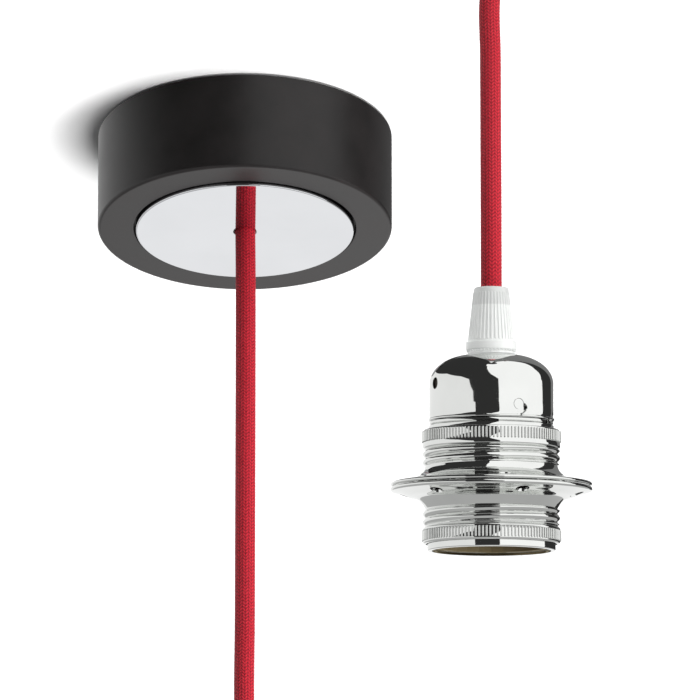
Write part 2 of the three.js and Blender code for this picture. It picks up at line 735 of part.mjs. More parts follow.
// Cores in the holder
const holderCoreAngles = { live: 30, earth: 270, neutral: 150 };
Object.entries(holderTerminals).forEach(([kind, x]) => {
  const start = coreStart(holderCoreAngles[kind], cordEnd - fit);
  const route = smooth([
    start, [start[0], start[1], -studLength - 1], [x, terminalSetback, terminalTop + 1.5],
    [x, terminalSetback, terminalMiddle + 1],
  ]);
  add(holder, `holder_core_${kind}`, tube(route, coreRadius, wireSides, 7), kind);
});
const earthStart = coreStart(holderCoreAngles.earth, cordEnd - fit);
const earthSide = new THREE.Vector2(Math.sin(radians(capHoleAzimuth)), -Math.cos(radians(capHoleAzimuth)));
const earthEnd = earthSide.multiplyScalar(earthHeadFace - earthHeadHeight - fit);
add(holder, 'holder_core_earth', tube(smooth([
  earthStart, [earthStart[0], earthStart[1], -studLength - 1], [earthEnd.x / 2, earthEnd.y / 3, -capHoleDepth - 1],
  [earthEnd.x, earthEnd.y, -capHoleDepth],
]), coreRadius, wireSides, 7), 'earth');

// Shade rings: knurled edge, rolled beads, and a sprung flange with vent holes
function knurl(bottom, top) {
  const star = new THREE.Shape(Array.from({ length: 2 * knurlTeeth }, (_, k) => {
    const radius = knurlRadius - (k % 2) * knurlDepth;
    const angle = (Math.PI * k) / knurlTeeth;
    return new THREE.Vector2(radius * Math.cos(angle), radius * Math.sin(angle));
  }));
  const hole = new THREE.Path();
  hole.absarc(0, 0, (shellCrest + ringRoot) / 2, 0, 2 * Math.PI, true);
  star.holes.push(hole);
  return new THREE.ExtrudeGeometry(star, { depth: top - bottom, bevelEnabled: false, curveSegments: smallSegments })
    .translate(0, 0, bottom);
}

function shadeRing(outline, knurlBottom, knurlTop, ventPhase) {
  const body = revolve(outline, holderSegments);
  const heights = outline.map(([, height]) => height);
  const [low, high] = [Math.min(...heights) - 1, Math.max(...heights) + 1];
  const vents = Array.from({ length: ventCount }, (_, k) => toAzimuth(
    pin(ventRadius, low, high).translate(0, -ventPlace, 0), ventPhase + (k * 360) / ventCount));
  return cut(join(body, knurl(knurlBottom, knurlTop)), ...vents);
}

const ringBore = shellCrest + fit;
const upperTop = shellShoulder;
const seam = -37.9; // height of the joint between the two flanges
const upperTip = seam + fit / 2;
const lowerTip = seam - fit / 2;
add(holder, 'shade_ring_upper', shadeRing([
  [ringBore, upperTop], [ringRoot, upperTop], [ringCrest, upperTop - 3.7], [ringCrest, upperTop - 5.7],
  [ringRoot, upperTop - 6.5], [ringCrest, upperTop - 7.7], [ringRoot, upperTop - 8.9],
  [ringCrest, upperTop - 10.2], [ringRoot, upperTop - 11.4], [ringRoot + 0.15, upperTop - 13.3],
  [20.2, upperTip + ringSheet + 2.2], [21.6, upperTip + ringSheet + 1.8],
  [24.6, upperTip + ringSheet + 1], [ringTip, upperTip + ringSheet], [ringTip, upperTip],
  [24.6, upperTip + 1], [21.4, upperTip + 1.8], [ringBore, upperTip + 2.4],
], upperTop - 3.7, upperTop, upperVentPhase), 'chrome');

const lowerEnd = -shellLength + 2;
add(holder, 'shade_ring_lower', shadeRing([
  [ringBore, lowerEnd], [ringBore, lowerTip - 3.8], [21.2, lowerTip - 2.9], [24.3, lowerTip - 2.1],
  [27.4, lowerTip - 1.2], [ringTip, lowerTip], [ringTip, lowerTip - ringSheet],
  [27.5, lowerTip - ringSheet - 1.3], [24.4, lowerTip - ringSheet - 2.3], [21.4, lowerTip - ringSheet - 3.1],
  [20.2, lowerTip - ringSheet - 4.3], [ringRoot, lowerEnd + 10.4], [ringCrest, lowerEnd + 8.9],
  [ringRoot, lowerEnd + 7.7], [ringCrest, lowerEnd + 6.5], [ringRoot, lowerEnd + 5.2],
  [ringRoot + 0.15, lowerEnd + 1.2], [ringRoot, lowerEnd],
], lowerEnd + 1.2, lowerEnd + 5.1, lowerVentPhase), 'chrome');

export default group;
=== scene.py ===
import math

import bmesh
import bpy
from mathutils import Matrix, Vector


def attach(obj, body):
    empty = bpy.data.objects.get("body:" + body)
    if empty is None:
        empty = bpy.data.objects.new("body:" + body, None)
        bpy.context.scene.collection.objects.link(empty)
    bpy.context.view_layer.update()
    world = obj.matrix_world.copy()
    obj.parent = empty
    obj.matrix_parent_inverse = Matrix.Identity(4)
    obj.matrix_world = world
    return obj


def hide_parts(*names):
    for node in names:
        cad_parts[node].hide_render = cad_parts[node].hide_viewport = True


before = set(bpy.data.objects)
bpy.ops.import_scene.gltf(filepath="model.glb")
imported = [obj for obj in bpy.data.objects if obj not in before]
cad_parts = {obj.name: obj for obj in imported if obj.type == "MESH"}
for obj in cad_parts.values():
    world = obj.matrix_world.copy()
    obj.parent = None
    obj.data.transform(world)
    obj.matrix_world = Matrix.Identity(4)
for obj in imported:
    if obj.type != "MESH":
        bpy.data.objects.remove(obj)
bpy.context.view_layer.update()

# Camera
# A very long lens, 4 m in front of the part and 1.9 m below the ceiling, so that lines hardly
# converge. It looks up and shows the canopy's underside.
VIEW_RISE = 24.5  # degrees that the camera looks up


def add_object(name, data):
    """A new object in the scene."""
    piece = bpy.data.objects.new(name, data)
    bpy.context.collection.objects.link(piece)
    return piece


camera_data = bpy.data.cameras.new("camera")
camera_data.lens = 748.17
camera_data.sensor_width = 36.0
camera_data.clip_end = 50.0
camera = add_object("camera", camera_data)
camera.location = (0.03217, -4.03328, -1.90979)
camera.rotation_euler = (math.radians(90 + VIEW_RISE), 0.0, 0.0)
bpy.context.scene.camera = camera

# Cord
# One red textile cord, a round flex in a braided cover. It leaves the middle of the canopy's
# disc, hangs in a free loop, runs over the ceiling hook and goes down into the cord grip.
CORD_DIAMETER = 0.0062
ROUTE_STEPS = 40  # parts of the curve between two points of the route
cord_route = [
    (0.0, 0.0, -0.02), (0.0003, 0.0, -0.045), (0.0004, 0.0, -0.08), (0.0004, 0.0, -0.12),
    (0.0004, 0.0, -0.16), (0.0004, 0.0, -0.195), (0.004, -0.006, -0.263), (0.017, -0.0235, -0.299),
    (0.0355, -0.0505, -0.326), (0.059, -0.0835, -0.34), (0.0835, -0.118, -0.34),
    (0.1065, -0.151, -0.326), (0.1255, -0.178, -0.299), (0.138, -0.1955, -0.263),
    (0.142, -0.2015, -0.2), (0.142, -0.2015, -0.16), (0.142, -0.2015, -0.12),
    (0.142, -0.2015, -0.085), (0.142, -0.2015, -0.0495), (0.1395, -0.2015, -0.0363),
    (0.132, -0.2015, -0.025), (0.1207, -0.2015, -0.0176), (0.1075, -0.2015, -0.015),
    (0.0943, -0.2015, -0.0176), (0.083, -0.2015, -0.025), (0.0758, -0.2015, -0.0363),
    (0.0732, -0.2015, -0.0495), (0.0732, -0.2015, -0.07), (0.0732, -0.2015, -0.095),
    (0.0732, -0.2015, -0.114), (0.0732, -0.1985, -0.1354), (0.0732, -0.1926, -0.1524),
]
STITCH_PITCH = 0.00107
STITCH_COLUMNS = 20
STITCH_SLANT = 0.9  # stitches that a column's yarn climbs on its way across
BRAID_RELIEF = 0.00016
POINTS_PER_STITCH = 3
FINE_STEP = 0.00027
COARSE_STEP = 0.004
LEFT_SEEN_FROM = -0.196  # heights between which the camera sees each straight strand
RIGHT_SEEN_FROM, RIGHT_SEEN_TO = -0.147, -0.046
STRAND_REACH = 0.001  # how far the centre line may stand off a straight strand
MIRROR_REACH = 0.044  # how far off the canopy's disc still mirrors the cord


def smooth_route(points, steps):
    """Centripetal Catmull-Rom curve through the points, as a dense list of points."""
    knots = [Vector(p) for p in points]
    knots = [knots[0] * 2 - knots[1]] + knots + [knots[-1] * 2 - knots[-2]]
    line = []
    for p0, p1, p2, p3 in zip(knots, knots[1:], knots[2:], knots[3:]):
        t01, t12, t23 = (math.sqrt((b - a).length) for a, b in ((p0, p1), (p1, p2), (p2, p3)))
        start = t12 * ((p1 - p0) / t01 - (p2 - p0) / (t01 + t12) + (p2 - p1) / t12)
        end = t12 * ((p2 - p1) / t12 - (p3 - p1) / (t12 + t23) + (p3 - p2) / t23)
        for k in range(steps):
            t = k / steps
            line.append((2 * t**3 - 3 * t**2 + 1) * p1 + (t**3 - 2 * t**2 + t) * start
                        + (3 * t**2 - 2 * t**3) * p2 + (t**3 - t**2) * end)
    line.append(knots[-2])
    return line


cord_line = smooth_route(cord_route, ROUTE_STEPS)
cord_travel = [0.0]
for before, after in zip(cord_line, cord_line[1:]):
    cord_travel.append(cord_travel[-1] + (after - before).length)
CORD_LENGTH = cord_travel[-1]


def in_view(point):
    """Whether the braid can be seen there, so that its relief is worth fine rows."""
    left = point.x < STRAND_REACH and point.z > LEFT_SEEN_FROM
    right = (abs(point.x - cord_route[-1][0]) < STRAND_REACH
             and RIGHT_SEEN_FROM < point.z < RIGHT_SEEN_TO)
    return left or right


def cord_rows():
    """Distances along the cord at which the mesh has a row."""
    rows = [0.0]
    cursor = 0
    while rows[-1] < CORD_LENGTH - FINE_STEP:
        while cord_travel[cursor + 1] < rows[-1]:
            cursor += 1
        step = FINE_STEP if in_view(cord_line[cursor]) else COARSE_STEP
        rows.append(min(CORD_LENGTH, rows[-1] + step))
    return rows


def stitch_relief(column, along):
    """Height of the braid from 0 to 1: slanted stitches that meet in a V between columns."""
    lane = math.floor(column)
    across = column - lane
    slant = (across - 0.5) * (STITCH_SLANT if lane % 2 else -STITCH_SLANT)
    crest = abs(math.cos(math.pi * (along + slant)))
    return math.sqrt(crest) * (0.35 + 0.65 * math.sin(math.pi * (0.08 + 0.84 * across)))


def braided_cord():
    """Tube along the route with the braid's stitches in its surface and stitch counts as its UV."""
    sides = STITCH_COLUMNS * POINTS_PER_STITCH
    mesh = bmesh.new()
    uv_layer = mesh.loops.layers.uv.new("braid")
    base = CORD_DIAMETER / 2 - BRAID_RELIEF
    side_way = Vector((1.0, 0.0, 0.0))
    cursor = 0
    rings = []
    rows = cord_rows()
    for travel in rows:
        while cursor < len(cord_line) - 2 and cord_travel[cursor + 1] < travel:
            cursor += 1
        share = (travel - cord_travel[cursor]) / (cord_travel[cursor + 1] - cord_travel[cursor])
        centre = cord_line[cursor].lerp(cord_line[cursor + 1], share)
        along = (cord_line[cursor + 1] - cord_line[cursor]).normalized()
        side_way = (side_way - along * side_way.dot(along)).normalized()
        other_way = along.cross(side_way)
        ring = []
        for k in range(sides):
            angle = 2 * math.pi * k / sides
            relief = stitch_relief((k + 0.5) / POINTS_PER_STITCH, travel / STITCH_PITCH)
            radius = base + BRAID_RELIEF * relief
            ring.append(mesh.verts.new(
                centre + side_way * radius * math.cos(angle) + other_way * radius * math.sin(angle)))
        rings.append(ring)
    for row, (near, far) in enumerate(zip(rings, rings[1:])):
        for k in range(sides):
            face = mesh.faces.new((near[k], near[(k + 1) % sides], far[(k + 1) % sides], far[k]))
            face.smooth = True
            turns = ((k + 0.5) / POINTS_PER_STITCH, (k + 1.5) / POINTS_PER_STITCH)
            stitches = (rows[row] / STITCH_PITCH, rows[row + 1] / STITCH_PITCH)
            corners = ((turns[0], stitches[0]), (turns[1], stitches[0]),
                       (turns[1], stitches[1]), (turns[0], stitches[1]))
            for loop, corner in zip(face.loops, corners):
                loop[uv_layer].uv = corner
    mesh.faces.new(list(reversed(rings[0])))
    mesh.faces.new(rings[-1])
    bmesh.ops.recalc_face_normals(mesh, faces=mesh.faces)
    data = bpy.data.meshes.new("braided_cord")
    mesh.to_mesh(data)
    mesh.free()
    return add_object("braided_cord", data)


def new_material(name):
    """A material with its nodes, its links and its Principled shader."""
    material = bpy.data.materials.new(name)
    material.use_nodes = True
    tree = material.node_tree
    return material, tree.nodes, tree.links, tree.nodes["Principled BSDF"]


def math_node(nodes, links, operation, first, second=None):
    """A Math node fed by sockets or plain numbers; gives its output."""
    node = nodes.new("ShaderNodeMath")
    node.operation = operation
    for socket, value in zip(node.inputs, (first, second)):
        if isinstance(value, bpy.types.NodeSocket):
            links.new(value, socket)
        elif value is not None:
            socket.default_value = value
    return node.outputs[0]


def ramp_node(nodes, links, source, stops):
    """A Color Ramp from a list of (place, colour); gives its colour output."""
    node = nodes.new("ShaderNodeValToRGB")
    links.new(source, node.inputs[0])
    elements = node.color_ramp.elements
    while len(elements) < len(stops):
        elements.new(1.0)
    for element, (place, colour) in zip(elements, stops):
        element.position = place
        element.color = (*colour, 1.0)
    return node.outputs[0]


def vary_roughness(nodes, links, shader, source, share, base):
    """Roughness that rises from base with a mask or tone, by share at most."""
    links.new(math_node(nodes, links, "ADD", math_node(nodes, links, "MULTIPLY", source, share), base),
              shader.inputs["Roughness"])


def add_bump(nodes, links, shader, height, strength, distance):
    """Fine relief from a height between 0 and 1; distance is in metres."""
    bump = nodes.new("ShaderNodeBump")
    bump.inputs["Strength"].default_value = strength
    bump.inputs["Distance"].default_value = distance
    links.new(height, bump.inputs["Height"])
    links.new(bump.outputs[0], shader.inputs["Normal"])


def textile_material():
    """Red rayon braid: yarns side by side in each slanted stitch, with painted shade between the stitches.
    """
    material, nodes, links, shader = new_material("red_textile_braid")
    uv = nodes.new("ShaderNodeUVMap")
    uv.uv_map = "braid"
    split = nodes.new("ShaderNodeSeparateXYZ")
    links.new(uv.outputs[0], split.inputs[0])
    column, along = split.outputs[0], split.outputs[1]
    across = math_node(nodes, links, "FRACT", column)
    lane = math_node(nodes, links, "FLOOR", column)
    odd = math_node(nodes, links, "MODULO", lane, 2.0)
    sign = math_node(nodes, links, "SUBTRACT",
                     math_node(nodes, links, "MULTIPLY", odd, 2 * STITCH_SLANT), STITCH_SLANT)
    slant = math_node(nodes, links, "MULTIPLY", math_node(nodes, links, "SUBTRACT", across, 0.5), sign)
    phase = math_node(nodes, links, "ADD", along, slant)
    crest = math_node(nodes, links, "ABSOLUTE", math_node(
        nodes, links, "COSINE", math_node(nodes, links, "MULTIPLY", phase, math.pi)))
    belly = math_node(nodes, links, "SINE", math_node(nodes, links, "MULTIPLY", across, math.pi))
    stitch = math_node(nodes, links, "MULTIPLY", math_node(nodes, links, "POWER", crest, 0.6),
                       math_node(nodes, links, "POWER", belly, 0.4))
    yarns = math_node(nodes, links, "SINE", math_node(nodes, links, "MULTIPLY", phase, 12 * math.pi))
    coordinates = nodes.new("ShaderNodeTexCoord")
    variation = nodes.new("ShaderNodeTexNoise")
    variation.inputs["Scale"].default_value = 900.0
    variation.inputs["Detail"].default_value = 3.0
    links.new(coordinates.outputs["Object"], variation.inputs["Vector"])
    # The colour carries painted shade where the stitch mask dips: darkest between stitches and columns, a
    # little darker between yarns. The noise is uneven dye.
    tone = math_node(nodes, links, "ADD", math_node(nodes, links, "MULTIPLY", stitch, 0.8),
                     math_node(nodes, links, "MULTIPLY", variation.outputs[0], 0.25))
    tone = math_node(nodes, links, "ADD", tone, math_node(nodes, links, "MULTIPLY", yarns, 0.06))
    colour = ramp_node(nodes, links, tone, [
        (0.15, (0.06, 0.002, 0.006)), (0.5, (0.34, 0.006, 0.018)), (0.95, (0.60, 0.014, 0.030))])
    links.new(colour, shader.inputs["Base Color"])
    shader.inputs["Roughness"].default_value = 0.62
    shader.inputs["Specular IOR Level"].default_value = 0.3
    shader.inputs["Sheen Weight"].default_value = 0.08
    shader.inputs["Sheen Roughness"].default_value = 0.4
    shader.inputs["Sheen Tint"].default_value = (1.0, 0.45, 0.45, 1.0)
    height = math_node(nodes, links, "ADD", stitch, math_node(nodes, links, "MULTIPLY", yarns, 0.15))
    add_bump(nodes, links, shader, height, 0.6, 0.0001)
    # The polished holder would mirror the strand that hangs just right of the camera's view
    path = nodes.new("ShaderNodeLightPath")
    far = math_node(nodes, links, "GREATER_THAN", path.outputs["Ray Length"], MIRROR_REACH)
    hidden = math_node(nodes, links, "MULTIPLY", path.outputs["Is Glossy Ray"], far)
    clear = nodes.new("ShaderNodeBsdfTransparent")
    mix = nodes.new("ShaderNodeMixShader")
    links.new(hidden, mix.inputs[0])
    links.new(shader.outputs[0], mix.inputs[1])
    links.new(clear.outputs[0], mix.inputs[2])
    links.new(mix.outputs[0], nodes["Material Output"].inputs["Surface"])
    return material


cord = braided_cord()
cord.data.materials.append(textile_material())
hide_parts("cord")
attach(cord, "root")

# Canopy body
# A deep-drawn steel cup, powder coated in satin black, open towards the ceiling. A shelf inside
# it carries the disc and takes the two screws that hold the cup on the bracket.
CANOPY_RADIUS = 0.045
CANOPY_BOTTOM = -0.031
RECESS_RADIUS = 0.034
ROUND_FACES = 160


def turned_skin(name, rings):
    """Closed skin over rings of points: each joins the next, and the last joins the first."""
    mesh = bmesh.new()
    rows = [[mesh.verts.new(point) for point in ring] for ring in rings]
    for near, far in zip(rows, rows[1:] + rows[:1]):
        for k in range(len(near)):
            after = (k + 1) % len(near)
            mesh.faces.new((near[k], near[after], far[after], far[k]))
    bmesh.ops.recalc_face_normals(mesh, faces=mesh.faces)
    data = bpy.data.meshes.new(name)
    mesh.to_mesh(data)
    mesh.free()
    return add_object(name, data)


def revolved(name, outline, segments=ROUND_FACES):
    """Closed outline of (radius, height) points turned round Z."""
    piece = turned_skin(name, [
        [(radius * math.cos(2 * math.pi * k / segments), radius * math.sin(2 * math.pi * k / segments),
          height) for k in range(segments)] for radius, height in outline])
    shade(piece)
    return piece


def shade(piece, sharp_from=35.0):
    """Smooth shading with edges kept sharp above an angle."""
    piece.data.polygons.foreach_set("use_smooth", [True] * len(piece.data.polygons))
    piece.data.set_sharp_from_angle(angle=math.radians(sharp_from))


def arc(centre, radius, first, last, steps=6):
    """Points on a circle in the (radius, height) plane between two angles in degrees."""
    return [(centre[0] + radius * math.cos(math.radians(first + (last - first) * k / steps)),
             centre[1] + radius * math.sin(math.radians(first + (last - first) * k / steps)))
            for k in range(steps + 1)]


def stand_for(piece, node):
    """Puts a finished piece in the place of a CAD node."""
    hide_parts(node)
    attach(piece, "root")


def speckle_group():
    """Fine unevenness that coatings and polished metal share: a mask, a tone and a height."""
    group = bpy.data.node_groups.new("surface_speckle", "ShaderNodeTree")
    interface = group.interface
    interface.new_socket("Scale", in_out="INPUT", socket_type="NodeSocketFloat")
    interface.new_socket("Fleck Share", in_out="INPUT", socket_type="NodeSocketFloat")
    interface.new_socket("Flecks", in_out="OUTPUT", socket_type="NodeSocketFloat")
    interface.new_socket("Cloud", in_out="OUTPUT", socket_type="NodeSocketFloat")
    nodes, links = group.nodes, group.links
    source, target = nodes.new("NodeGroupInput"), nodes.new("NodeGroupOutput")
    place = nodes.new("ShaderNodeTexCoord")
    fine = nodes.new("ShaderNodeTexNoise")
    fine.inputs["Detail"].default_value = 2.0
    cloud = nodes.new("ShaderNodeTexNoise")
    cloud.inputs["Detail"].default_value = 3.0
    for texture in (fine, cloud):
        links.new(place.outputs["Object"], texture.inputs["Vector"])
    links.new(source.outputs["Scale"], fine.inputs["Scale"])
    links.new(math_node(nodes, links, "DIVIDE", source.outputs["Scale"], 30.0), cloud.inputs["Scale"])
    limit = math_node(nodes, links, "SUBTRACT", 1.0, source.outputs["Fleck Share"])
    links.new(math_node(nodes, links, "GREATER_THAN", fine.outputs[0], limit), target.inputs["Flecks"])
    links.new(cloud.outputs[0], target.inputs["Cloud"])
    return group


speckle = speckle_group()


def add_speckle(nodes, scale, share):
    """The speckle group placed in a material with its own values."""
    node = nodes.new("ShaderNodeGroup")
    node.node_tree = speckle
    node.inputs["Scale"].default_value = scale
    node.inputs["Fleck Share"].default_value = share
    return node.outputs["Flecks"], node.outputs["Cloud"]


canopy_material, nodes, links, shader = new_material("satin_black_coat")
flecks, cloud = add_speckle(nodes, 2600.0, 0.32)
links.new(ramp_node(nodes, links, cloud, [(0.3, (0.009, 0.008, 0.008)), (0.7, (0.014, 0.012, 0.012))]),
          shader.inputs["Base Color"])
vary_roughness(nodes, links, shader, cloud, 0.10, 0.33)
shader.inputs["Specular IOR Level"].default_value = 0.34
add_bump(nodes, links, shader, flecks, 0.12, 0.00004)

CANOPY_INNER = 0.0435
CANOPY_TOP = -0.0003
SHELF_BOTTOM, SHELF_TOP, SHELF_INNER = -0.0285, -0.027, 0.024
EDGE_ROUND, RECESS_ROUND = 0.0009, 0.0003
SUPPORT = 0.0002  # a row this far from a rounding keeps the flat face beside it flat in shading
canopy = revolved("canopy_cup", [
    (CANOPY_INNER, CANOPY_TOP), (CANOPY_RADIUS, CANOPY_TOP), (CANOPY_RADIUS, -0.001),
    (CANOPY_RADIUS, CANOPY_BOTTOM + EDGE_ROUND + SUPPORT),
    *arc((CANOPY_RADIUS - EDGE_ROUND, CANOPY_BOTTOM + EDGE_ROUND), EDGE_ROUND, 0, -90, 8),
    (CANOPY_RADIUS - EDGE_ROUND - SUPPORT, CANOPY_BOTTOM),
    (RECESS_RADIUS + RECESS_ROUND + SUPPORT, CANOPY_BOTTOM),
    *arc((RECESS_RADIUS + RECESS_ROUND, CANOPY_BOTTOM + RECESS_ROUND), RECESS_ROUND, -90, -180, 5),
    (RECESS_RADIUS, CANOPY_BOTTOM + RECESS_ROUND + SUPPORT), (RECESS_RADIUS, SHELF_BOTTOM),
    (SHELF_INNER, SHELF_BOTTOM), (SHELF_INNER, SHELF_TOP), (CANOPY_INNER, SHELF_TOP)])
canopy.data.materials.append(canopy_material)
stand_for(canopy, "canopy_body")

# Canopy disc
# A pressed stainless disc, polished to a mirror, that stands one millimetre proud of the cup.
# Its turned-up rim seats under the shelf, and the cord passes through its middle.
DISC_RADIUS = 0.03335
DISC_BOTTOM, DISC_BACK, DISC_RIM_TOP = -0.032, -0.0308, -0.0288
DISC_SHEET = 0.0012
DISC_HOLE = 0.0035
HOLE_ROUND, RIM_ROUND = 0.00025, 0.0004
disc_material, nodes, links, shader = new_material("mirror_polish")
flecks, cloud = add_speckle(nodes, 1400.0, 0.3)
links.new(ramp_node(nodes, links, cloud, [(0.3, (0.73, 0.74, 0.76)), (0.7, (0.76, 0.77, 0.79))]),
          shader.inputs["Base Color"])
shader.inputs["Metallic"].default_value = 1.0
vary_roughness(nodes, links, shader, flecks, 0.02, 0.035)
disc = revolved("mirror_disc", [
    *arc((DISC_HOLE + HOLE_ROUND, DISC_BOTTOM + HOLE_ROUND), HOLE_ROUND, 180, 270, 4),
    (DISC_HOLE + 0.0004, DISC_BOTTOM), (DISC_RADIUS - RIM_ROUND - SUPPORT, DISC_BOTTOM),
    *arc((DISC_RADIUS - RIM_ROUND, DISC_BOTTOM + RIM_ROUND), RIM_ROUND, -90, 0, 5),
    (DISC_RADIUS, DISC_RIM_TOP), (DISC_RADIUS - DISC_SHEET, DISC_RIM_TOP),
    (DISC_RADIUS - DISC_SHEET, DISC_BACK), (DISC_HOLE, DISC_BACK)])
disc.data.materials.append(disc_material)
stand_for(disc, "canopy_disc")

# Fittings behind the canopy
# A zinc-plated bracket and screws hold the cup, and spring clips hold the disc. A white nylon clamp
# and terminal block take the cord and its three cores. All keep their CAD shape and get a finish.
def plain_metal(name, colour, roughness):
    """Plated or plain metal with a slight cloud in its roughness."""
    material, nodes, links, shader = new_material(name)
    flecks, cloud = add_speckle(nodes, 1600.0, 0.35)
    darker = tuple(0.86 * part for part in colour)
    links.new(ramp_node(nodes, links, cloud, [(0.3, darker), (0.65, colour)]), shader.inputs["Base Color"])
    shader.inputs["Metallic"].default_value = 1.0
    vary_roughness(nodes, links, shader, cloud, 0.15, roughness)
    add_bump(nodes, links, shader, flecks, 0.1, 0.00003)
    return material


def plain_plastic(name, colour, roughness):
    """Moulded plastic or glazed ceramic with a faint cloud and a fine grain."""
    material, nodes, links, shader = new_material(name)
    flecks, cloud = add_speckle(nodes, 2000.0, 0.4)
    darker = tuple(0.9 * part for part in colour)
    links.new(ramp_node(nodes, links, cloud, [(0.3, darker), (0.7, colour)]), shader.inputs["Base Color"])
    vary_roughness(nodes, links, shader, flecks, 0.06, roughness)
    return material


def finish_nodes(material, *names):
    """Gives CAD nodes, whose shapes stay, their finish."""
    for name in names:
        node_object = bpy.data.objects[name]
        node_object.data.materials.clear()
        node_object.data.materials.append(material)


finish_nodes(plain_metal("zinc_plate", (0.62, 0.63, 0.64), 0.28), "ceiling_bracket", "canopy_screw_1",
             "canopy_screw_2", "clamp_screw_1", "clamp_screw_2", "swag_hook", "stud_nut",
             "terminal_screw_live", "terminal_screw_neutral")
finish_nodes(plain_metal("spring_steel", (0.5, 0.5, 0.5), 0.3),
             "disc_clip_1", "disc_clip_2", "disc_clip_3")
finish_nodes(plain_plastic("white_nylon", (0.8, 0.79, 0.76), 0.45), "cord_clamp_base",
             "cord_clamp_bridge", "terminal_block")
brass = plain_metal("brass", (0.70, 0.52, 0.25), 0.25)
finish_nodes(brass, "block_screw_1", "block_screw_2", "block_screw_3", "centre_contact",
             "shell_rivet_1", "shell_rivet_2", "terminal_live", "terminal_neutral")
finish_nodes(plain_metal("browned_screw", (0.07, 0.06, 0.05), 0.5), "earth_screw")
for name, colour in (("live", (0.22, 0.09, 0.04)), ("neutral", (0.04, 0.12, 0.42)),
                     ("earth", (0.25, 0.42, 0.05))):
    finish_nodes(plain_plastic("core_" + name, colour, 0.45),
                 "canopy_core_" + name, "holder_core_" + name)

# Cord grip
# A translucent moulded compression nut with upright ribs and a toothed collar. It closes a
# slotted collet on the cord, and its base piece stands on the cap.
HOLDER_LEAN = 19  # degrees towards the front
holder_place = (Matrix.Translation((0.0732, -0.19, -0.16))
                @ Matrix.Rotation(math.radians(HOLDER_LEAN), 4, "X"))
MM = 0.001  # the holder's outlines are in millimetres along its own axis, from the cap's top
BAR_SIDES = 10
BAR_END_RINGS = 6


def in_metres(outline):
    """An outline given in millimetres, in metres."""
    return [(radius * MM, height * MM) for radius, height in outline]


